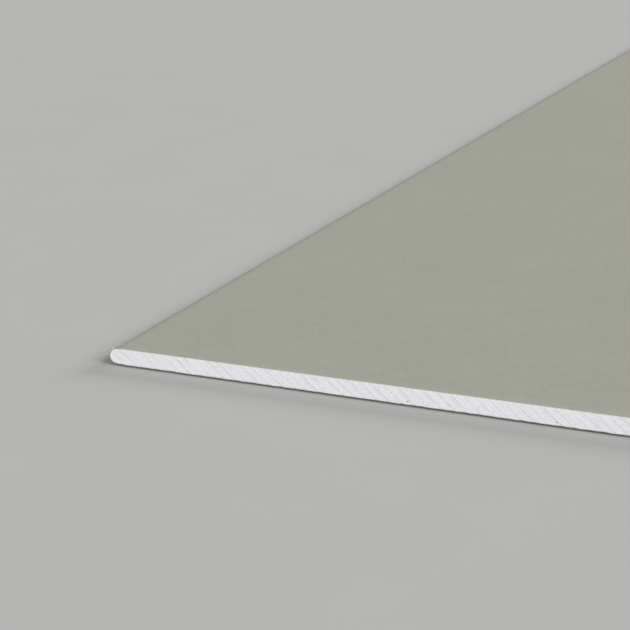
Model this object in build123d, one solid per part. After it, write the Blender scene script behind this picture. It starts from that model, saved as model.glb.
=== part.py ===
from build123d import *
import math
import os

# A sheet of drywall with half-round long edges, lying on its back.
# X runs across the sheet, Y along it and Z up through its thickness.
# The origin is the middle of the underside. All sizes are in millimetres.

# Driving dimensions of the sheet
sheet_width = 1200.0
sheet_length = 2400.0
sheet_thickness = 12.5

# The two papers that the gypsum is cast between
face_paper_thickness = 0.36
back_paper_thickness = 0.33

# Half-round long edges. Each half of the section is a nose arc that runs into a flatter
# shoulder arc. The outermost line of the edge lies a little below the middle of the sheet.
nose_below_middle = 0.65
face_shoulder_run = 6.1
face_shoulder_drop = 0.5
back_shoulder_run = 5.2
back_shoulder_drop = 0.5

# The face paper is folded round both long edges and under the back paper
back_paper_margin = 1.0
lap_overlap = 18.0

# Places that follow from the sizes above
edge_x = sheet_width / 2
nose_height = sheet_thickness / 2 - nose_below_middle
face_height = sheet_thickness - nose_height
lap_height = nose_height - back_paper_thickness
face_nose_radius = face_height - face_shoulder_drop
back_nose_radius = lap_height - back_shoulder_drop
face_flat_edge = edge_x - face_nose_radius - face_shoulder_run
back_flat_edge = edge_x - back_nose_radius - back_shoulder_run
back_paper_edge = back_flat_edge - back_paper_margin
lap_edge = back_paper_edge - lap_overlap

OVER_FACE = 1
UNDER_BACK = -1


def edge_quarter(side, height, nose_radius, run, drop, inset):
    """The nose and shoulder arcs of one half of the +X edge, moved in from the surface by inset."""
    shoulder_radius = run**2 / (2 * drop) + height - drop / 2
    join_angle = math.degrees(math.atan2(shoulder_radius - height, run))
    nose_centre = (edge_x - nose_radius, nose_height)
    shoulder_centre = (nose_centre[0] - run, nose_height + side * (height - shoulder_radius))
    nose = CenterArc(nose_centre, nose_radius - inset, 0, side * join_angle)
    shoulder = CenterArc(
        shoulder_centre, shoulder_radius - inset, side * join_angle, side * (90 - join_angle)
    )
    return [nose, shoulder]


def wrapped_section(inset):
    """The section inside the face paper's outer surface, moved in by inset on every side."""
    right_edge = edge_quarter(
        OVER_FACE, face_height, face_nose_radius, face_shoulder_run, face_shoulder_drop, inset
    ) + edge_quarter(
        UNDER_BACK, lap_height, back_nose_radius, back_shoulder_run, back_shoulder_drop, inset
    )
    left_edge = [arc.mirror(Plane.YZ) for arc in right_edge]
    face_level = sheet_thickness - inset
    lap_level = back_paper_thickness + inset
    face_line = Line((-face_flat_edge, face_level), (face_flat_edge, face_level))
    lap_line = Line((-back_flat_edge, lap_level), (back_flat_edge, lap_level))
    return make_face([face_line, lap_line] + right_edge + left_edge)


def strip_section(half_width, bottom, top):
    """A flat strip across the middle of the sheet, between two heights."""
    return Pos(0, (bottom + top) / 2) * Rectangle(2 * half_width, top - bottom)


def run_along_sheet(section):
    """A section drawn in X and Z, made as long as the sheet."""
    return extrude(Plane.XZ * section, amount=sheet_length / 2, both=True)


# The gap between the two laps, where the gypsum reaches down to the back paper
gap_between_laps = strip_section(
    lap_edge, back_paper_thickness, back_paper_thickness + face_paper_thickness
)


def make_gypsum_core():
    """The cast core, which fills the folded face paper and the gap between its laps."""
    return run_along_sheet(wrapped_section(face_paper_thickness) + gap_between_laps)


def make_face_paper():
    """One sheet of paper over the face, round both long edges and lapped onto the back."""
    folded = wrapped_section(0) - wrapped_section(face_paper_thickness)
    return run_along_sheet(folded - gap_between_laps)


def make_back_paper():
    """The flat paper of the back, glued over the laps and stopping short of the rounding."""
    return run_along_sheet(strip_section(back_paper_edge, 0, back_paper_thickness))


parts = {
    "gypsum_core": make_gypsum_core(),
    "face_paper": make_face_paper(),
    "back_paper": make_back_paper(),
}

os.makedirs("parts", exist_ok=True)
for node, shape in parts.items():
    export_step(shape, f"parts/{node}.step")
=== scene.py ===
import bisect
import math
import random

import bmesh
import bpy
from bpy.props import FloatProperty, FloatVectorProperty, IntProperty, PointerProperty
from mathutils import Matrix, Vector, noise


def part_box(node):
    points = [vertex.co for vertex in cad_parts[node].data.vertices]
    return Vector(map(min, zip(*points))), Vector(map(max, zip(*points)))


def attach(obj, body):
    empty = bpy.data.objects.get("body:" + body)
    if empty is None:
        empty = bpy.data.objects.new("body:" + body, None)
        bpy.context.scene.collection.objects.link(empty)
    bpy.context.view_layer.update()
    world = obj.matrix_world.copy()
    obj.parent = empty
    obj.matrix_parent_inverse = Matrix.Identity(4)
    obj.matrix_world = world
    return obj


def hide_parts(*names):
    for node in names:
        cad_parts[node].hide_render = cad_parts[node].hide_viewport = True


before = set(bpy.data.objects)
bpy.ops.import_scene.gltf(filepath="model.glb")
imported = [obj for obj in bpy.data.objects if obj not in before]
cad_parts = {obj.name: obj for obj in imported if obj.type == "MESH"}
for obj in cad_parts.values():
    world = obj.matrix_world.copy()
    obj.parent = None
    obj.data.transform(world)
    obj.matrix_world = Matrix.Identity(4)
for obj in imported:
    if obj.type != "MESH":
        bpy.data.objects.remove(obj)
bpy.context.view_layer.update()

bl_info = {
    "name": "Drywall Sheet",
    "version": (1, 0, 0),
    "blender": (4, 5, 0),
    "location": "View3D > Sidebar > Drywall",
    "description": "Builds a sheet of drywall with papered half-round edges and sawn ends",
    "category": "Object",
}

MM = 0.001
BODY = "root"

# The two sawn ends: as seen from before the front one, +X lies to the right
FRONT = 1
REAR = -1

# Numbers that the meshes hold for the finishes
SAWN_END = "sawn_end"
BAND_TONE = "band_tone"
BAND_SHARE = "band_share"
OVER_MARKS = "over_marks"
# The saw marks' number is the painted shade of their grooves
SAW_MARK_SHADE = "saw_mark_shade"
# The pores' number is the painted shade inside them
PORE_SHADE = "void"

# How finely the round edges and the sawn ends are divided
ARC_STEPS = 12
SHOULDER_STEPS = 6
END_LEVELS = 6
SMOOTH_STRIP = 2 * MM
MERGE_DISTANCE = MM / 1000

# Where the random draws for each end start
SEEDS = {FRONT: 11, REAR: 23}

# Each unevenness of an end: how wide its patches are, and the layer of noise that it reads
FADING = (5 * MM, 17.0)
SWAY = (7 * MM, 13.0)
CHIPS = (2.6 * MM, 3.1)
RIM_WAVES = (12 * MM, 9.1)
CUT_WAVES = (40 * MM, 5.0)

# Each rim's side of the middle, and its share of the breaks, which are worse at the back
RIMS = ((-1, 1.0), (1, 0.3))

# A pore keeps its spacing from the next, and the faces within its room, in radii, make way for it.
# Its bowl is drawn in steps: the ring's scale, its fall in radii and its share of the painted shade
PORE_SPACING = 5 * MM
PORE_SIDES = 9
PORE_ROOM = 1.3
BOWL_STEPS = ((0.85, 0.45, 0.7), (0.55, 0.4, 1.0))

# Torn fibres narrow at each step, and most of them hang at the face
FIBRE_STEPS = 3
FIBRE_TAPER = 0.7
FIBRES_AT_FACE = 0.65
WHISKER_HEADING = (-0.6, 0.7, 0.42)
WHISKER_BEND = (-0.12, 0, 0)

# Where each lamp's light comes from, and how far the floor reaches
SIDE_LAMP = (3.25, -0.9, 2.0)
FRONT_LAMP = (-0.55, -2.2, 0.72)
REAR_LAMP = (1.6, 2.0, 1.0)
FLOOR_REACH = 15

# The papers lie face to face with the gypsum, so the layers' far corners give their sizes
core_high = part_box("gypsum_core")[1]
face_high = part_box("face_paper")[1]
back_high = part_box("back_paper")[1]


def size_of(name, description, default):
    """A length that the user can set, in metres."""
    return FloatProperty(
        name=name, description=description, default=default, precision=5, unit="LENGTH"
    )


def angle_of(name, description, degrees):
    """An angle that the user can set."""
    return FloatProperty(
        name=name, description=description, default=math.radians(degrees), subtype="ANGLE"
    )


def share_of(name, description, default):
    """A plain number that the user can set."""
    return FloatProperty(name=name, description=description, default=default, min=0)


def colour_of(name, description, default):
    """A colour that the user can set, in linear light."""
    return FloatVectorProperty(
        name=name, description=description, default=default, subtype="COLOR", size=3, min=0, max=1
    )


class SheetSizes(bpy.types.PropertyGroup):
    """Sizes of the sheet, its papers and its half-round edges"""

    width: size_of("Width", "Across the sheet, over both round edges", 2 * face_high.x)
    length: size_of("Length", "Between the two sawn ends", 2 * face_high.y)
    thickness: size_of("Thickness", "From the back paper to the face", face_high.z)
    face_paper: size_of("Face paper", "Thickness of the face paper", face_high.z - core_high.z)
    back_paper: size_of("Back paper", "Thickness of the back paper", back_high.z)
    back_width: size_of("Back paper width", "Across the back paper", 2 * back_high.x)
    lap_overlap: size_of("Lap overlap", "How far the face paper lies under the back", 18 * MM)
    nose_below_middle: size_of(
        "Nose below middle", "How far the outermost line lies below mid-thickness", 0.65 * MM
    )
    face_run: size_of("Face shoulder run", "Reach of the face's shoulder arc", 6.1 * MM)
    face_drop: size_of("Face shoulder drop", "Fall of the face's shoulder arc", 0.5 * MM)
    back_run: size_of("Back shoulder run", "Reach of the back's shoulder arc", 5.2 * MM)
    back_drop: size_of("Back shoulder drop", "Rise of the back's shoulder arc", 0.5 * MM)


class SawSettings(bpy.types.PropertyGroup):
    """Marks, pores and torn paper of the two sawn ends"""

    first_mark: size_of("First mark", "From the round edge to the first saw mark", 4.4 * MM)
    wide_pitch: size_of("Pitch at the edge", "Between saw marks at the round edge", 9.8 * MM)
    narrow_pitch: size_of("Pitch further in", "Between saw marks further in", 9.0 * MM)
    pitch_run: size_of("Pitch run", "Over which the pitch narrows", 400 * MM)
    mark_angle: angle_of("Mark angle", "Slope of the saw marks", 41)
    angle_spread: angle_of("Angle spread", "By how much the slopes differ", 2.5)
    mark_bow: size_of("Mark bow", "How far the marks bow from a straight line", 0.6 * MM)
    mark_sway: size_of("Mark sway", "How far the marks stray from their bow", 0.9 * MM)
    mark_width: size_of("Mark width", "Across one saw mark", 3.0 * MM)
    # The marks' fading varies their painted groove shade along their run
    fading: share_of("Fading", "How much the marks fade and darken along their run", 0.6)
    mark_depth: size_of("Mark depth", "Depth of the deepest saw mark", 0.11 * MM)
    band_step: size_of("Band step", "Fall of the surface from one mark to the next", 0.10 * MM)
    cut_allowance: size_of("Cut allowance", "What the saw took off the length", 0.12 * MM)
    rim: size_of("Rim", "Height of the broken rim beside each paper", 0.9 * MM)
    rim_break: size_of("Rim break", "Depth of the worst break in the rim", 0.4 * MM)
    paper_share: share_of("Paper relief", "Share of the relief that paper takes up", 0.5)
    pore_count: IntProperty(name="Pores", description="Open pores in one end", default=42)
    pore_radius: size_of("Pore radius", "Radius of the largest common pore", 0.3 * MM)
    # A void's dark inside is painted shade
    void_radius: size_of("Void radius", "Radius of a void that shows dark", 0.55 * MM)
    fibre_count: IntProperty(name="Fibres", description="Loose fibres at one end", default=420)
    fibre_length: size_of("Fibre length", "Length of the longest common fibre", 1.3 * MM)
    fibre_radius: size_of("Fibre radius", "Radius of a fibre at its root", 0.045 * MM)
    whisker_length: size_of("Whisker length", "Length of the fibre that stands up", 4.8 * MM)
    whisker_inset: size_of("Whisker inset", "Its place in from the round edge", 3.3 * MM)
    whisker_foot: size_of("Whisker foot", "Its place above the middle of the end", 4.4 * MM)
    whisker_radius: size_of("Whisker radius", "Its radius at the root", 0.3 * MM)


class SheetColours(bpy.types.PropertyGroup):
    """Colours of the sheet's layers"""

    gypsum: colour_of("Gypsum", "The sawn core", (0.77, 0.78, 0.81))
    crust: colour_of("Gypsum crust", "Gypsum against the paper", (0.80, 0.797, 0.775))
    # The saw mark colour is painted shade at the bottom of the grooves
    mark: colour_of("Saw mark", "Bottom of a saw mark", (0.46, 0.465, 0.50))
    # The pore colour is painted shade inside the pores and voids
    void: colour_of("Void", "Inside of a pore", (0.09, 0.09, 0.10))
    face_paper: colour_of("Face paper", "The grey-cream face", (0.356, 0.356, 0.308))
    cut_paper: colour_of("Cut paper", "The sawn edge of a paper", (0.69, 0.687, 0.66))
    back_paper: colour_of("Back paper", "The grey back", (0.33, 0.31, 0.27))
    back_fleck: colour_of("Back fleck", "Dark fibres in the back paper", (0.20, 0.18, 0.15))


class StudioSettings(bpy.types.PropertyGroup):
    """Camera, lamps and floor"""

    lens: share_of("Lens", "Focal length for a sensor 36 mm wide", 91.43)
    heading: angle_of("Heading", "Turn of the view away from the sheet's length", 28.09)
    pitch: angle_of("Pitch", "How far the camera looks down", 18.68)
    roll: angle_of("Roll", "Lean of the camera", -3.06)
    camera_across: size_of("Camera across", "From the near round edge, over the width", 0.6685)
    camera_back: size_of("Camera back", "From the near end, away from the sheet", 0.9233)
    camera_up: size_of("Camera up", "Above the face", 0.3988)
    floor: colour_of("Floor", "The pale floor", (0.46, 0.46, 0.45))
    backdrop: colour_of("Backdrop", "Seen behind the floor", (0.58, 0.58, 0.57))
    floor_gap: size_of("Floor gap", "How far the floor lies below the flat of the back", 1.6 * MM)
    sky: share_of("Sky", "Strength of the even light", 0.3)
    side: share_of("Side light", "Strength of the light from the right", 2.1)
    front: share_of("Front light", "Strength of the low light from before the sheet", 1.48)
    rear: share_of("Rear light", "Strength of the low light from behind the sheet", 1.73)
    softness: angle_of("Softness", "How wide each light looks from the sheet", 25)


class Signal:
    """A socket of a shader node, with the arithmetic that the finishes use."""

    def __init__(self, finish, socket):
        self.finish = finish
        self.socket = socket

    def math(self, operation, first, second=0.0):
        return self.finish.node("ShaderNodeMath", {"operation": operation}, {0: first, 1: second})

    def __add__(self, other):
        return self.math("ADD", self, other)

    def __sub__(self, other):
        return self.math("SUBTRACT", self, other)

    def __rsub__(self, other):
        return self.math("SUBTRACT", other, self)

    def __mul__(self, other):
        return self.math("MULTIPLY", self, other)

    def __abs__(self):
        return self.math("ABSOLUTE", self)

    __radd__ = __add__
    __rmul__ = __mul__

    def or_more(self, other):
        return self.math("MAXIMUM", self, other)


class Finish:
    """The nodes of a material or of the world, built from expressions on their sockets."""

    def __init__(self, owner):
        owner.use_nodes = True
        self.owner = owner
        self.tree = owner.node_tree
        self.tree.nodes.clear()

    def node(self, kind, settings=None, values=None, out=0):
        """Adds a node: first its settings, then the values or links of its sockets."""
        made = self.tree.nodes.new(kind)
        for setting, value in (settings or {}).items():
            setattr(made, setting, value)
        for socket, value in (values or {}).items():
            if isinstance(value, Signal):
                self.tree.links.new(value.socket, made.inputs[socket])
            else:
                made.inputs[socket].default_value = value
        return Signal(self, made.outputs[out]) if made.outputs else None

    def place(self):
        """The place on the piece, in millimetres."""
        coordinates = self.node("ShaderNodeTexCoord", out="Object")
        values = {0: coordinates, "Scale": 1 / MM}
        return self.node("ShaderNodeVectorMath", {"operation": "SCALE"}, values)

    def parts_of(self, vector):
        """The X, Y and Z of a vector."""
        split = self.node("ShaderNodeSeparateXYZ", values={0: vector}).socket.node
        return [Signal(self, socket) for socket in split.outputs]

    def joined(self, *parts):
        """A vector of three numbers."""
        return self.node("ShaderNodeCombineXYZ", values=dict(enumerate(parts)))

    def stretched(self, vector, *factors):
        """A place with each of its parts scaled, which draws a grain out along one of them."""
        values = {0: vector, 1: factors}
        return self.node("ShaderNodeVectorMath", {"operation": "MULTIPLY"}, values)

    def grain(self, vector, scale, detail=2.0, roughness=0.5):
        """Soft noise from -1 to 1, with scale cycles to a millimetre."""
        values = {"Vector": vector, "Scale": scale, "Detail": detail, "Roughness": roughness}
        return self.node("ShaderNodeTexNoise", values=values) * 2 - 1

    def specks(self, vector, scale, size):
        """1 at the middle of scattered specks and 0 from size, a share of their spacing."""
        distance = self.node("ShaderNodeTexVoronoi", values={"Vector": vector, "Scale": scale})
        return 1 - self.ramp(distance, size / 3, size)

    def ramp(self, value, low, high):
        """0 at low and 1 at high, with a smooth rise between them."""
        values = {"Value": value, "From Min": low, "From Max": high}
        return self.node("ShaderNodeMapRange", {"interpolation_type": "SMOOTHSTEP"}, values)

    def painted(self, name):
        """A number that the mesh holds for each point or face."""
        return self.node("ShaderNodeAttribute", {"attribute_name": name}, out="Fac")

    def mix(self, factor, first, second, blend="MIX"):
        """Two colours mixed."""
        values = {0: factor}
        for socket, colour in ((6, first), (7, second)):
            values[socket] = colour if isinstance(colour, Signal) else (*colour, 1)
        return self.node("ShaderNodeMix", {"data_type": "RGBA", "blend_type": blend}, values, 2)

    def toned(self, colour, tone):
        """A colour made lighter or darker by a number near 1."""
        return self.mix(1.0, colour, self.joined(tone, tone, tone), "MULTIPLY")

    def bump(self, height, distance):
        """A normal from a height, where 1 stands for distance."""
        return self.node("ShaderNodeBump", values={"Height": height, "Distance": distance})

    def surface(self, colour, roughness, normal, specular):
        """Closes a material with its shader, and returns the material."""
        values = {
            "Base Color": colour,
            "Roughness": roughness,
            "Normal": normal,
            "Specular IOR Level": specular,
        }
        shader = self.node("ShaderNodeBsdfPrincipled", values=values)
        self.node("ShaderNodeOutputMaterial", values={"Surface": shader})
        return self.owner


class RoundQuarter:
    """The nose and shoulder arcs of one half of the round edge, over the face or under the back."""

    def __init__(self, sizes, side):
        nose_height = sizes.thickness / 2 - sizes.nose_below_middle
        if side > 0:
            height, run, drop = sizes.thickness - nose_height, sizes.face_run, sizes.face_drop
        else:
            height, run, drop = nose_height - sizes.back_paper, sizes.back_run, sizes.back_drop
        shoulder_radius = run**2 / (2 * drop) + height - drop / 2
        nose_x = sizes.width / 2 - (height - drop)
        self.flat_edge = nose_x - run
        self.nose = (nose_x, 0, nose_height)
        self.shoulder = (self.flat_edge, 0, nose_height + side * (height - shoulder_radius))
        self.nose_turn = math.atan2(shoulder_radius - height, run)
        self.shoulder_turn = math.pi / 2 - self.nose_turn


def new_section():
    """An empty mesh with the numbers that the finishes read."""
    bm = bmesh.new()
    bm.faces.layers.int.new(SAWN_END)
    bm.faces.layers.float.new(BAND_TONE)
    for name in (BAND_SHARE, OVER_MARKS, SAW_MARK_SHADE, PORE_SHADE):
        bm.verts.layers.float.new(name)
    return bm


def drawn_to(bm, vert, x, z):
    """Draws an edge from a point of the section to a place, and returns its far end."""
    end = bmesh.ops.extrude_vert_indiv(bm, verts=[vert])["verts"][0]
    end.co = (x, 0, z)
    return end


def turned(bm, vert, centre, angle, steps):
    """Turns a point of the section clockwise, and returns the far end of its arc."""
    axis = (0, 1, 0)
    arc = bmesh.ops.spin(bm, geom=[vert], cent=centre, axis=axis, angle=angle, steps=steps)
    return arc["geom_last"][0]


def trace_wrap(bm, sizes, inset):
    """Half of the folded paper's outline, moved in by inset, from mid-face to the lap's end."""
    face = RoundQuarter(sizes, 1)
    back = RoundQuarter(sizes, -1)
    level = sizes.thickness - inset
    vert = drawn_to(bm, bm.verts.new((0, 0, level)), face.flat_edge - SMOOTH_STRIP, level)
    vert = drawn_to(bm, vert, face.flat_edge, level)
    vert = turned(bm, vert, face.shoulder, face.shoulder_turn, SHOULDER_STEPS)
    vert = turned(bm, vert, face.nose, face.nose_turn, ARC_STEPS)
    vert = turned(bm, vert, back.nose, back.nose_turn, ARC_STEPS)
    vert = turned(bm, vert, back.shoulder, back.shoulder_turn, SHOULDER_STEPS)
    lap_end = sizes.back_width / 2 - sizes.lap_overlap
    return drawn_to(bm, vert, lap_end, sizes.back_paper + inset)


def mirrored(bm):
    """Adds the -X half of a section."""
    everything = bm.verts[:] + bm.edges[:] + bm.faces[:]
    bmesh.ops.mirror(bm, geom=everything, axis="X", merge_dist=MERGE_DISTANCE)


def run_along(bm, length):
    """Extrudes the section from one end of the sheet to the other, and names its ends."""
    bmesh.ops.translate(bm, verts=bm.verts[:], vec=(0, -length / 2, 0))
    made = bmesh.ops.extrude_face_region(bm, geom=bm.faces[:])["geom"]
    far = [item for item in made if isinstance(item, bmesh.types.BMVert)]
    bmesh.ops.translate(bm, verts=far, vec=(0, length, 0))
    bmesh.ops.recalc_face_normals(bm, faces=bm.faces[:])
    sawn = bm.faces.layers.int[SAWN_END]
    for face in bm.faces:
        face[sawn] = -round(face.normal.y)


def with_edges_and_points(faces):
    """Faces with their edges and points, each once and always in the same order."""
    edges = dict.fromkeys(edge for face in faces for edge in face.edges)
    verts = dict.fromkeys(vert for face in faces for vert in face.verts)
    return list(faces) + list(edges) + list(verts)


def only(kind, items):
    """The items of one kind in what an operator made."""
    return [item for item in items if isinstance(item, kind)]


class SawMark:
    """One diagonal mark: where it crosses mid-thickness, its slope, its size and its band."""

    def __init__(self, saw, place, draw):
        self.place = place
        self.angle = saw.mark_angle + saw.angle_spread * draw.uniform(-1, 1)
        self.half = saw.mark_width / 2 * draw.uniform(0.8, 1.2)
        self.strength = draw.uniform(0.68, 1.0)
        self.depth = saw.mark_depth * self.strength
        self.step = saw.band_step * draw.uniform(0.35, 0.85)
        self.tone = draw.uniform(-1, 1)

    def distance(self, across, up):
        """How far a point lies to the right of the mark."""
        return (across - self.place) * math.sin(self.angle) + up * math.cos(self.angle)


class SawnEnd:
    """What the saw left on one end. Across and up are counted from the end's middle."""

    def __init__(self, sizes, saw, facing):
        self.sizes = sizes
        self.saw = saw
        self.facing = facing
        self.half_height = sizes.thickness / 2
        self.half_width = sizes.width / 2
        self.draw = random.Random(SEEDS[facing])
        self.marks = []
        place = saw.first_mark - self.half_width
        while place < self.half_width:
            self.marks.append(SawMark(saw, place, self.draw))
            nearness = max(0, 1 - (place + self.half_width) / saw.pitch_run)
            pitch = saw.narrow_pitch + (saw.wide_pitch - saw.narrow_pitch) * nearness
            place += pitch * self.draw.uniform(0.92, 1.08)
        self.places = [mark.place for mark in self.marks]

    def seen(self, point):
        """Across and up of a point, for someone who stands before this end."""
        return point.x * self.facing, point.z - self.half_height

    def spot(self, across, up):
        """The point of the end's flat plane at a place across and up."""
        out = -self.facing * self.sizes.length / 2
        return Vector((across * self.facing, out, up + self.half_height))

    def noise_at(self, across, up, patches):
        """Soft noise from -1 to 1 that differs from end to end."""
        width, layer = patches
        return noise.noise(Vector((across / width, up / width, layer * self.facing)))

    def cuts(self):
        """Place and angle of each plane that parts the end: three to a mark, and two between marks."""
        for mark, following in zip(self.marks, self.marks[1:] + [None]):
            reach = mark.half / math.sin(mark.angle)
            for place in (mark.place - reach, mark.place, mark.place + reach):
                yield place, mark.angle
            if following:
                start = mark.place + reach
                stop = following.place - following.half / math.sin(following.angle)
                for share in (1 / 3, 2 / 3):
                    angle = mark.angle + (following.angle - mark.angle) * share
                    yield start + (stop - start) * share, angle

    def neighbours(self, across, up):
        """The marks on the left and on the right of a point, each with its distance."""
        left = None
        near = bisect.bisect(self.places, across + up / math.tan(self.saw.mark_angle))
        for mark in self.marks[max(0, near - 2) : near + 2]:
            distance = mark.distance(across, up)
            if distance < 0:
                return left, (mark, -distance)
            left = (mark, distance)
        return left, None

    def mark_shade(self, across, up):
        """How much painted shade a saw mark's groove gets at a point: 0 at its lips, near 1 in the middle
        of a strong one.
        """
        shades = [
            max(0, 1 - distance / mark.half) * mark.strength
            for mark, distance in filter(None, self.neighbours(across, up))
        ]
        fading = 1 + self.saw.fading * self.noise_at(across, up, FADING)
        return max(shades, default=0) * max(0, fading)

    def band_share(self, across, up):
        """Where a point lies between two marks: 0 at the one on its left, 1 at the one on its right."""
        left, right = self.neighbours(across, up)
        return left[1] / (left[1] + right[1]) if left and right else 0.5

    def bent(self, across, up):
        """How far the marks stray to the right of straight lines, away from the round edges."""
        bow = self.saw.mark_bow * ((up / self.half_height) ** 2 - 1)
        sway = self.saw.mark_sway * self.noise_at(across, up, SWAY)
        from_edge = (self.half_width - abs(across)) / self.sizes.thickness
        return (bow + sway) * min(max(from_edge - 1, 0), 1)

    def band_fall(self, across, up):
        """Depth of the sloping band between two marks, or of the flank of a mark."""
        left, right = self.neighbours(across, up)
        if right and right[1] <= right[0].half:
            mark, distance = right
            return mark.step + mark.depth * (1 - distance / mark.half)
        if left and left[1] <= left[0].half:
            mark, distance = left
            return (mark.step + mark.depth) * (1 - distance / mark.half)
        if left and right:
            run = left[1] - left[0].half
            return right[0].step * run / (run + right[1] - right[0].half)
        return 0

    def rim_fall(self, across, up):
        """Depth of the broken rim, which is worse beside the back than beside the face."""
        falls = []
        for side, share in RIMS:
            inside = self.half_height - side * up
            nearness = max(0, 1 - inside / self.saw.rim)
            chips = self.noise_at(across, side, CHIPS)
            waves = self.noise_at(across, side, RIM_WAVES)
            broken = max(0, 0.4 + 0.8 * chips + 0.6 * waves)
            falls.append(self.saw.rim_break * share * nearness * broken)
        return max(falls)

    def depth(self, across, up, share):
        """How far a point of the end lies behind the sheet's full length."""
        waves = self.noise_at(across, 4 * up, CUT_WAVES)
        hollow = self.saw.cut_allowance * (1 + 0.7 * waves)
        return share * (hollow + self.band_fall(across, up)) + self.rim_fall(across, up)

    def faces(self, bm):
        """The faces of this end."""
        sawn = bm.faces.layers.int[SAWN_END]
        return [face for face in bm.faces if face[sawn] == self.facing]

    def part(self, bm):
        """Cuts the faces of this end along both rims, along each mark and at levels between the rims."""
        rims = (self.saw.rim, self.sizes.thickness - self.saw.rim)
        self.part_at(bm, rims)
        self.part_along_marks(bm)
        step = (rims[1] - rims[0]) / END_LEVELS
        self.part_at(bm, [rims[0] + step * number for number in range(1, END_LEVELS)])

    def part_at(self, bm, heights):
        """Cuts the faces of this end at some heights."""
        for height in heights:
            around = with_edges_and_points(self.faces(bm))
            bmesh.ops.bisect_plane(bm, geom=around, plane_co=(0, 0, height), plane_no=(0, 0, 1))

    def part_along_marks(self, bm):
        """Cuts the faces of this end along each mark, from left to right."""
        remaining = self.faces(bm)
        for place, angle in self.cuts():
            point = self.spot(place, 0)
            normal = Vector((math.sin(angle) * self.facing, 0, math.cos(angle)))
            around = with_edges_and_points(remaining)
            cut = bmesh.ops.bisect_plane(bm, geom=around, plane_co=point, plane_no=normal)
            remaining = [
                face
                for face in only(bmesh.types.BMFace, cut["geom"])
                if (face.calc_center_median() - point).dot(normal) > 0
            ]

    def sink(self, bm, share=1.0):
        """Lowers this end's points to the saw's relief, bends its marks, and notes them on the points."""
        mark = bm.verts.layers.float[SAW_MARK_SHADE]
        band = bm.verts.layers.float[BAND_SHARE]
        over = bm.verts.layers.float[OVER_MARKS]
        tone = bm.faces.layers.float[BAND_TONE]
        slope = self.saw.mark_angle
        faces = self.faces(bm)
        for face in faces:
            left, right = self.neighbours(*self.seen(face.calc_center_median()))
            face[tone] = left[0].tone if left else 0
        for vert in {vert for face in faces for vert in face.verts}:
            across, up = self.seen(vert.co)
            vert[mark] = self.mark_shade(across, up)
            vert[band] = self.band_share(across, up)
            vert[over] = (across * math.sin(slope) + up * math.cos(slope)) / MM
            vert.co.x += self.facing * self.bent(across, up)
            vert.co.y += self.facing * self.depth(across, up, share)


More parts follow.
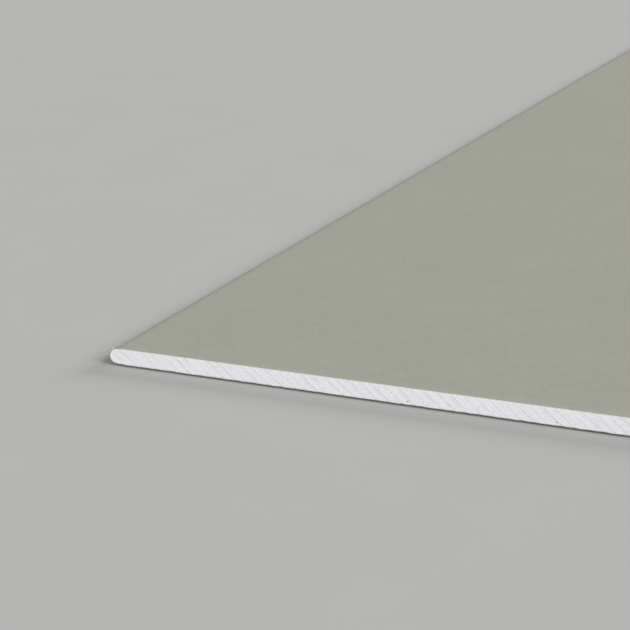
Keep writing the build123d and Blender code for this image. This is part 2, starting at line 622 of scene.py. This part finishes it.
class Pores:
    """Small open bowls in the gypsum of one end, and the few voids whose insides get painted shade."""

    # Voids of the front end, from the round edge and from the back, in millimetres
    VOIDS = ((244.3, 2.3), (275.4, 3.9), (350.1, 2.2))

    def __init__(self, end):
        self.end = end
        self.slope = end.saw.mark_angle
        self.places = []
        self.bowls = []
        if end.facing == FRONT:
            for from_edge, from_back in self.VOIDS:
                across = from_edge * MM - end.half_width
                self.add(across, from_back * MM - end.half_height, end.saw.void_radius, 1.0)
        margin = 2.2 * end.saw.rim
        for _ in range(end.saw.pore_count):
            across = (end.half_width - end.sizes.thickness) * end.draw.uniform(-1, 1)
            up = (end.half_height - margin) * end.draw.uniform(-1, 1)
            size = end.draw.uniform(0.35, 1.0)
            self.add(across, up, end.saw.pore_radius * size, 0.4 * size)

    def over_marks(self, across, up):
        """How far a place lies across the run of the saw marks."""
        return across * math.sin(self.slope) + up * math.cos(self.slope)

    def add(self, across, up, radius, darkness):
        """Keeps a bowl, unless another lies on the same band of the end."""
        place = self.over_marks(across, up)
        if all(abs(place - other) > PORE_SPACING for other in self.places):
            self.places.append(place)
            self.bowls.append((across, up, radius, darkness))

    def touches(self, face, across, up, reach):
        """Whether a face of the end comes within reach of a place."""
        place = self.over_marks(across, up)
        if abs(self.over_marks(*self.end.seen(face.verts[0].co)) - place) > PORE_SPACING:
            return False
        points = [self.end.seen(vert.co) for vert in face.verts]
        places = [self.over_marks(*point) - place for point in points]
        heights = [point[1] - up for point in points]
        return all(min(span) < reach and max(span) > -reach for span in (places, heights))

    def open(self, bm):
        """Opens every bowl in the end, while it is still flat."""
        for across, up, radius, darkness in self.bowls:
            self.open_bowl(bm, across, up, radius, darkness)

    def open_bowl(self, bm, across, up, radius, darkness):
        """Cuts a ring into the faces round a place, draws it in to a bowl, and paints shade into the
        bowl.
        """
        end = self.end
        sawn = bm.faces.layers.int[SAWN_END]
        void = bm.verts.layers.float[PORE_SHADE]
        room = PORE_ROOM * radius
        around = [face for face in end.faces(bm) if self.touches(face, across, up, room)]
        region = bmesh.ops.dissolve_faces(bm, faces=around)["region"] if len(around) > 1 else around
        outline = list(region[0].edges)
        bmesh.ops.delete(bm, geom=region, context="FACES_ONLY")
        centre = end.spot(across, up)
        stretch = end.draw.uniform(0.8, 1.25)
        matrix = Matrix.Translation(centre) @ Matrix.Rotation(end.draw.uniform(0, math.pi), 4, "Y")
        matrix = matrix @ Matrix.Diagonal((stretch, 1, 1 / stretch, 1))
        matrix = matrix @ Matrix.Rotation(math.pi / 2, 4, "X")
        ring = bmesh.ops.create_circle(bm, segments=PORE_SIDES, radius=radius, matrix=matrix)["verts"]
        rim = list(dict.fromkeys(edge for vert in ring for edge in vert.link_edges))
        outward = (0, -end.facing, 0)
        filled = bmesh.ops.triangle_fill(bm, edges=outline + rim, use_beauty=True, normal=outward)
        made = only(bmesh.types.BMFace, filled["geom"])
        if not made:
            raise RuntimeError("a pore could not be cut into the sawn end")
        for size, sink, shade in BOWL_STEPS:
            drawn = bmesh.ops.extrude_edge_only(bm, edges=rim)["geom"]
            ring = only(bmesh.types.BMVert, drawn)
            rim = [edge for edge in only(bmesh.types.BMEdge, drawn) if set(edge.verts) <= set(ring)]
            made += only(bmesh.types.BMFace, drawn)
            about = Matrix.Translation(-centre)
            bmesh.ops.scale(bm, verts=ring, vec=(size, size, size), space=about)
            bmesh.ops.translate(bm, verts=ring, vec=(0, end.facing * sink * radius, 0))
            # Painted shade, deeper down the bowl
            for vert in ring:
                vert[void] = darkness * shade
        made += bmesh.ops.contextual_create(bm, geom=rim)["faces"]
        for face in made:
            face[sawn] = end.facing


def gypsum_finish(sizes, saw, colours):
    """White gypsum with saw hairlines, a warmer crust beside the paper, and fine pores, with painted
    shade in the saw grooves, pits and pores and across each sloping band.
    """
    finish = Finish(bpy.data.materials.new("sawn_gypsum"))
    place = finish.place()
    x, y, z = finish.parts_of(place)
    across = x * finish.painted(SAWN_END)
    slope = saw.mark_angle
    along_marks = across * math.cos(slope) - z * math.sin(slope)
    strokes = finish.joined(finish.painted(OVER_MARKS), along_marks * 0.06, y * 0.05)
    hairlines = finish.grain(strokes, 1.6, 3.0)
    scratches = 1 - finish.ramp(abs(finish.grain(strokes, 0.3, 2.0)), 0.0, 0.12)
    clouds = finish.grain(place, 0.05)
    mottle = finish.grain(place, 0.5, 3.0, 0.6)
    crumbs = finish.grain(place, 2.6, 4.0, 0.65)
    pits = finish.specks(place, 0.9, 0.22)
    # Besides a random tone for each band, painted shade and light across each sloping band: lighter after
    # one mark, darker before the next
    band = 0.008 * finish.painted(BAND_TONE) + 0.065 * (0.5 - finish.painted(BAND_SHARE))
    tone = 1 + band + 0.02 * clouds + 0.165 * mottle + 0.05 * hairlines + 0.1 * crumbs
    # The pits' darkening is painted shade in them
    tone = tone - 0.05 * scratches - 0.09 * pits
    edge = sizes.width / 2 / MM
    top = (sizes.thickness - sizes.face_paper) / MM
    bottom = sizes.back_paper / MM
    height = z + 0.6 * finish.grain(place, 0.3, 2.0)
    under_face = finish.ramp(height, top - 2.0, top - 0.3)
    over_back = 1 - finish.ramp(height, bottom, bottom + 1.6)
    nose = finish.ramp(abs(x), edge - 6.0, edge - 1.5)
    crust = under_face.or_more(over_back).or_more(nose)
    colour = finish.mix(crust * 0.9, colours.gypsum, colours.crust)
    colour = finish.toned(colour, tone)
    # Painted shade in the saw grooves, darkest in the middle of each mark
    mark = finish.painted(SAW_MARK_SHADE)
    colour = finish.mix(mark * (0.1 + 0.06 * mark), colour, colours.mark)
    # Painted shade inside the pores and voids
    colour = finish.mix(finish.painted(PORE_SHADE), colour, colours.void)
    normal = finish.bump(0.5 * crumbs + 0.4 * hairlines - pits, 0.05 * MM)
    return finish.surface(colour, 0.88 + 0.06 * crumbs, normal, 0.3)


def cut_paper_colour(finish, place, colours):
    """The fibrous sawn edge of a paper."""
    return finish.toned(colours.cut_paper, 1 + 0.18 * finish.grain(place, 1.9, 3.0))


def face_paper_finish(sizes, colours):
    """Smooth grey-cream paper with fine fibres along the sheet, and dust beside the cuts."""
    finish = Finish(bpy.data.materials.new("face_paper"))
    place = finish.place()
    along = finish.parts_of(place)[1]
    clouds = finish.grain(place, 0.012)
    floc = finish.grain(place, 0.3, 3.0)
    fibres = finish.grain(finish.stretched(place, 2.4, 0.4, 2.4), 1.0, 3.0, 0.6)
    flecks = finish.specks(finish.stretched(place, 1.0, 0.45, 1.0), 0.28, 0.2)
    mottle = finish.grain(place, 0.11, 2.0)
    tone = 1 + 0.035 * clouds + 0.045 * mottle + 0.085 * floc + 0.075 * fibres - 0.08 * flecks
    colour = finish.toned(colours.face_paper, tone)
    end = sizes.length / 2 / MM
    near_cut = finish.ramp(abs(along), end - 9.0, end - 0.5)
    dust = near_cut * finish.ramp(finish.grain(place, 1.1, 3.0), 0.0, 0.5)
    colour = finish.mix(dust * 0.3, colour, colours.crust)
    cut = finish.painted(SAWN_END)
    colour = finish.mix(cut * cut, colour, cut_paper_colour(finish, place, colours))
    normal = finish.bump(fibres + 0.6 * floc, 0.02 * MM)
    return finish.surface(colour, 0.78 + 0.05 * floc, normal, 0.05)


def back_paper_finish(colours):
    """Coarser grey-brown paper with dark and light fibres."""
    finish = Finish(bpy.data.materials.new("back_paper"))
    place = finish.place()
    clouds = finish.grain(place, 0.015)
    floc = finish.grain(place, 0.35, 4.0, 0.6)
    fibres = finish.grain(finish.stretched(place, 2.0, 0.35, 2.0), 1.0, 4.0, 0.65)
    along = finish.specks(finish.stretched(place, 1.3, 0.4, 1.0), 0.6, 0.24)
    slanted = finish.node("ShaderNodeVectorRotate", values={"Vector": place, "Angle": math.radians(55)})
    crossed = finish.specks(finish.stretched(slanted, 1.4, 0.5, 1.0), 0.45, 0.2)
    patchy = finish.ramp(finish.grain(place, 0.08, 2.0), -0.2, 0.5)
    dark = along * patchy + 0.7 * crossed
    colour = finish.toned(colours.back_paper, 1 + 0.05 * clouds + 0.07 * floc + 0.12 * fibres)
    colour = finish.mix(0.45 * dark, colour, colours.back_fleck)
    cut = finish.painted(SAWN_END)
    dusted = finish.ramp(finish.grain(place, 0.16, 3.0, 0.6), -0.45, 0.15)
    colour = finish.mix(cut * cut * dusted, colour, cut_paper_colour(finish, place, colours))
    normal = finish.bump(fibres + 0.8 * floc, 0.03 * MM)
    return finish.surface(colour, 0.85 + 0.05 * floc, normal, 0.3)


def loose_fibre_finish(colours):
    """Torn fibres, the colour of the papers' sawn edge."""
    finish = Finish(bpy.data.materials.new("torn_fibres"))
    place = finish.place()
    colour = cut_paper_colour(finish, place, colours)
    normal = finish.bump(finish.grain(place, 6.0), 0.01 * MM)
    return finish.surface(colour, 0.9, normal, 0.3)


def shade_arcs_smooth(bm, round_zone):
    """Smooths the shading of the round edges and the flat strips beside them, up to the sawn ends."""
    sawn = bm.faces.layers.int[SAWN_END]
    bmesh.ops.recalc_face_normals(bm, faces=bm.faces[:])
    for face in bm.faces:
        across = abs(face.calc_center_median().x)
        face.smooth = face[sawn] == 0 and round_zone < across
    for edge in bm.edges:
        edge.smooth = len({face[sawn] for face in edge.link_faces}) == 1


def finished_piece(bm, name, material, slot, *nodes):
    """Makes a mesh a piece of the sheet, which stands for the nodes that are given."""
    mesh = bpy.data.meshes.new(name)
    bm.to_mesh(mesh)
    bm.free()
    mesh.materials.append(material)
    piece = bpy.data.objects.new(name, mesh)
    bpy.context.collection.objects.link(piece)
    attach(piece, BODY)
    if nodes:
        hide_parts(*nodes)


def sawn_off(bm, sizes, saw, share=1.0, with_pores=False):
    """Gives both ends of a layer the saw's relief, and pores where it has them."""
    for facing in (FRONT, REAR):
        end = SawnEnd(sizes, saw, facing)
        end.part(bm)
        if with_pores:
            Pores(end).open(bm)
        end.sink(bm, share)


class DRYWALL_OT_gypsum_core(bpy.types.Operator):
    """Build the cast gypsum core, with saw marks and pores in its ends"""

    bl_idname = "drywall.gypsum_core"
    bl_label = "Gypsum Core"

    def execute(self, context):
        sizes, saw = context.scene.drywall_sheet, context.scene.drywall_saw
        bm = new_section()
        vert = trace_wrap(bm, sizes, sizes.face_paper)
        vert = drawn_to(bm, vert, vert.co.x, sizes.back_paper)
        drawn_to(bm, vert, 0, sizes.back_paper)
        mirrored(bm)
        bmesh.ops.contextual_create(bm, geom=bm.edges[:])
        run_along(bm, sizes.length)
        sawn_off(bm, sizes, saw, with_pores=True)
        shade_arcs_smooth(bm, RoundQuarter(sizes, 1).flat_edge - SMOOTH_STRIP)
        material = gypsum_finish(sizes, saw, context.scene.drywall_colours)
        finished_piece(bm, "sawn_gypsum_core", material, "gypsum", "gypsum_core")
        return {"FINISHED"}


class DRYWALL_OT_face_paper(bpy.types.Operator):
    """Build the face paper, folded round both long edges and lapped onto the back"""

    bl_idname = "drywall.face_paper"
    bl_label = "Face Paper"

    def execute(self, context):
        sizes, saw = context.scene.drywall_sheet, context.scene.drywall_saw
        bm = new_section()
        trace_wrap(bm, sizes, 0)
        trace_wrap(bm, sizes, sizes.face_paper)
        bmesh.ops.bridge_loops(bm, edges=bm.edges[:])
        mirrored(bm)
        run_along(bm, sizes.length)
        sawn_off(bm, sizes, saw, saw.paper_share)
        shade_arcs_smooth(bm, RoundQuarter(sizes, 1).flat_edge - SMOOTH_STRIP)
        material = face_paper_finish(sizes, context.scene.drywall_colours)
        finished_piece(bm, "folded_face_paper", material, "face_paper", "face_paper")
        return {"FINISHED"}


class DRYWALL_OT_back_paper(bpy.types.Operator):
    """Build the flat paper of the back"""

    bl_idname = "drywall.back_paper"
    bl_label = "Back Paper"

    def execute(self, context):
        sizes, saw = context.scene.drywall_sheet, context.scene.drywall_saw
        bm = new_section()
        half = sizes.back_width / 2
        vert = drawn_to(bm, bm.verts.new((0, 0, sizes.back_paper)), half, sizes.back_paper)
        drawn_to(bm, drawn_to(bm, vert, half, 0), 0, 0)
        mirrored(bm)
        bmesh.ops.contextual_create(bm, geom=bm.edges[:])
        run_along(bm, sizes.length)
        sawn_off(bm, sizes, saw, saw.paper_share)
        bmesh.ops.recalc_face_normals(bm, faces=bm.faces[:])
        material = back_paper_finish(context.scene.drywall_colours)
        finished_piece(bm, "flat_back_paper", material, "back_paper", "back_paper")
        return {"FINISHED"}


class Fibre:
    """One thin fibre: where it starts, where it heads, and how it bends at each step."""

    def __init__(self, root, heading, bend, length, radius):
        self.root = root
        self.heading = heading.normalized()
        self.bend = bend
        self.stride = length / FIBRE_STEPS
        self.radius = radius

    def base(self, bm, sizes):
        """The fibre's small triangular root face."""
        turn = self.heading.to_track_quat("Z", "X").to_matrix().to_4x4()
        matrix = Matrix.Translation(kept_inside(self.root, sizes, self.radius)) @ turn
        circle = bmesh.ops.create_circle(
            bm, cap_ends=True, segments=3, radius=self.radius, matrix=matrix
        )
        return circle["verts"][0].link_faces[0]

    def move(self, tip, sizes):
        """Narrows the tip and moves it on by one step, inside the sheet's full size."""
        self.heading = (self.heading + self.bend).normalized()
        self.radius *= FIBRE_TAPER
        centre = tip.calc_center_median()
        goal = kept_inside(centre + self.heading * self.stride, sizes, self.radius)
        for vert in tip.verts:
            vert.co = goal + FIBRE_TAPER * (vert.co - centre)


def kept_inside(place, sizes, margin):
    """A place, moved where it needs to be so that it lies inside the sheet's full size by a margin."""
    lows = (-sizes.width / 2, -sizes.length / 2, 0)
    highs = (sizes.width / 2, sizes.length / 2, sizes.thickness)
    limits = zip(place, lows, highs)
    return Vector([min(max(part, low + margin), high - margin) for part, low, high in limits])


def grow_fibres(bm, sizes, fibres):
    """Grows all fibres together, step by step."""
    number = bm.faces.layers.int.new("fibre")
    tips = []
    for index, fibre in enumerate(fibres):
        tip = fibre.base(bm, sizes)
        tip[number] = index
        tips.append(tip)
    for step in range(FIBRE_STEPS):
        grown = bmesh.ops.extrude_face_region(bm, geom=with_edges_and_points(tips))
        tips = only(bmesh.types.BMFace, grown["geom"])
        for tip in tips:
            fibres[tip[number]].move(tip, sizes)


def frayed(end):
    """The fibres along the papers' arrises of one end, most of them at the face."""
    sizes, saw, draw = end.sizes, end.saw, end.draw
    for _ in range(saw.fibre_count):
        at_face = draw.random() < FIBRES_AT_FACE
        across = (end.half_width - 0.8 * sizes.thickness) * draw.uniform(-1, 1)
        paper = sizes.face_paper if at_face else sizes.back_paper
        inside = paper * draw.uniform(0.3, 0.9)
        up = end.half_height - inside if at_face else inside - end.half_height
        root = end.spot(across, up)
        root.y += end.facing * end.depth(across, up, saw.paper_share)
        inward = -1 if at_face else 1
        sideways = draw.choice((-1, 1))
        heading = Vector((sideways, -0.15 * end.facing, inward * draw.uniform(0, 0.8)))
        bend = Vector((draw.uniform(-0.4, 0.4), 0, inward * draw.uniform(-0.2, 0.5)))
        length = saw.fibre_length * draw.uniform(0.3, 1.0)
        yield Fibre(root, heading, bend, length, saw.fibre_radius)


def whisker(end):
    """The one fibre that stands up beside the near corner."""
    up = end.saw.whisker_foot
    across = end.saw.whisker_inset - end.half_width
    root = end.spot(across, up)
    root.y += end.facing * end.depth(across, up, end.saw.paper_share)
    heading = Vector(WHISKER_HEADING)
    bend = Vector(WHISKER_BEND)
    return Fibre(root, heading, bend, end.saw.whisker_length, end.saw.whisker_radius)


class DRYWALL_OT_torn_fibres(bpy.types.Operator):
    """Build the fibres that the saw tore from the papers at both ends"""

    bl_idname = "drywall.torn_fibres"
    bl_label = "Torn Fibres"

    def execute(self, context):
        sizes, saw = context.scene.drywall_sheet, context.scene.drywall_saw
        ends = [SawnEnd(sizes, saw, facing) for facing in (FRONT, REAR)]
        fibres = [fibre for end in ends for fibre in frayed(end)]
        bm = bmesh.new()
        grow_fibres(bm, sizes, fibres + [whisker(ends[0])])
        bmesh.ops.recalc_face_normals(bm, faces=bm.faces[:])
        material = loose_fibre_finish(context.scene.drywall_colours)
        finished_piece(bm, "torn_paper_fibres", material, "face_paper")
        return {"FINISHED"}


def add_lamp(name, origin, strength, softness):
    """A wide soft light from far off, which reaches floor and sheet evenly."""
    light = bpy.data.lights.new(name, "SUN")
    light.energy = strength
    light.angle = softness
    lamp = bpy.data.objects.new(name, light)
    lamp.location = origin
    lamp.rotation_euler = (-Vector(origin)).to_track_quat("-Z", "Y").to_euler()
    bpy.context.collection.objects.link(lamp)


def add_floor(studio):
    """The plain floor that the sheet lies on."""
    bm = bmesh.new()
    bmesh.ops.create_grid(bm, x_segments=1, y_segments=1, size=FLOOR_REACH)
    bmesh.ops.translate(bm, verts=bm.verts[:], vec=(0, 0, -studio.floor_gap))
    mesh = bpy.data.meshes.new("floor")
    bm.to_mesh(mesh)
    bm.free()
    finish = Finish(bpy.data.materials.new("floor"))
    place = finish.place()
    colour = finish.toned(studio.floor, 1 + 0.02 * finish.grain(place, 0.01))
    normal = finish.bump(finish.grain(place, 0.5), 0.02 * MM)
    mesh.materials.append(finish.surface(colour, 0.9, normal, 0.2))
    floor = bpy.data.objects.new("floor", mesh)
    bpy.context.collection.objects.link(floor)


def add_sky(scene, studio):
    """Even light from all round, which the camera sees as a plain backdrop."""
    scene.world = bpy.data.worlds.new("studio")
    finish = Finish(scene.world)
    light = finish.node("ShaderNodeBackground", values={"Color": (1, 1, 1, 1), "Strength": studio.sky})
    seen = finish.node("ShaderNodeBackground", values={"Color": (*studio.backdrop, 1), "Strength": 1.0})
    camera_ray = finish.node("ShaderNodeLightPath", out="Is Camera Ray")
    glossy_ray = finish.node("ShaderNodeLightPath", out="Is Glossy Ray")
    values = {0: camera_ray.or_more(glossy_ray), 1: light, 2: seen}
    mixed = finish.node("ShaderNodeMixShader", values=values)
    finish.node("ShaderNodeOutputWorld", values={"Surface": mixed})


def add_camera(scene, sizes, studio):
    """The camera, placed from the near corner of the face."""
    camera = bpy.data.cameras.new("camera")
    camera.sensor_width = 36
    camera.lens = studio.lens
    camera.clip_start = 0.01
    holder = bpy.data.objects.new("camera", camera)
    corner = Vector((-sizes.width / 2, -sizes.length / 2, sizes.thickness))
    place = corner + Vector((studio.camera_across, -studio.camera_back, studio.camera_up))
    turn = Matrix.Rotation(studio.heading, 4, "Z")
    tilt = Matrix.Rotation(math.pi / 2 - studio.pitch, 4, "X")
    lean = Matrix.Rotation(studio.roll, 4, "Z")
    holder.matrix_world = Matrix.Translation(place) @ turn @ tilt @ lean
    bpy.context.collection.objects.link(holder)
    scene.camera = holder


class DRYWALL_OT_studio(bpy.types.Operator):
    """Set up the floor, the soft light and the camera"""

    bl_idname = "drywall.studio"
    bl_label = "Studio"

    def execute(self, context):
        scene = context.scene
        sizes, studio = scene.drywall_sheet, scene.drywall_studio
        scene.view_settings.view_transform = "Standard"
        add_floor(studio)
        add_sky(scene, studio)
        add_lamp("side", SIDE_LAMP, studio.side, studio.softness)
        add_lamp("front", FRONT_LAMP, studio.front, studio.softness)
        add_lamp("rear", REAR_LAMP, studio.rear, studio.softness)
        add_camera(scene, sizes, studio)
        return {"FINISHED"}


class DRYWALL_PT_sheet(bpy.types.Panel):
    """Lists the pieces of the sheet and their sizes"""

    bl_label = "Drywall Sheet"
    bl_idname = "DRYWALL_PT_sheet"
    bl_space_type = "VIEW_3D"
    bl_region_type = "UI"
    bl_category = "Drywall"

    def draw(self, context):
        for operator in OPERATORS:
            self.layout.operator(operator.bl_idname)
        for group in SETTINGS:
            box = self.layout.box()
            settings = getattr(context.scene, group)
            for name in settings.__annotations__:
                box.prop(settings, name)


SETTINGS = {
    "drywall_sheet": SheetSizes,
    "drywall_saw": SawSettings,
    "drywall_colours": SheetColours,
    "drywall_studio": StudioSettings,
}
OPERATORS = (
    DRYWALL_OT_gypsum_core,
    DRYWALL_OT_face_paper,
    DRYWALL_OT_back_paper,
    DRYWALL_OT_torn_fibres,
    DRYWALL_OT_studio,
)
CLASSES = (*SETTINGS.values(), *OPERATORS, DRYWALL_PT_sheet)


def register():
    for kind in CLASSES:
        bpy.utils.register_class(kind)
    for name, kind in SETTINGS.items():
        setattr(bpy.types.Scene, name, PointerProperty(type=kind))


def unregister():
    for name in SETTINGS:
        delattr(bpy.types.Scene, name)
    for kind in reversed(CLASSES):
        bpy.utils.unregister_class(kind)


def main():
    """Builds the sheet and its stage."""
    register()
    bpy.ops.drywall.gypsum_core()
    bpy.ops.drywall.face_paper()
    bpy.ops.drywall.back_paper()
    bpy.ops.drywall.torn_fibres()
    bpy.ops.drywall.studio()


if __name__ == "__main__":
    main()
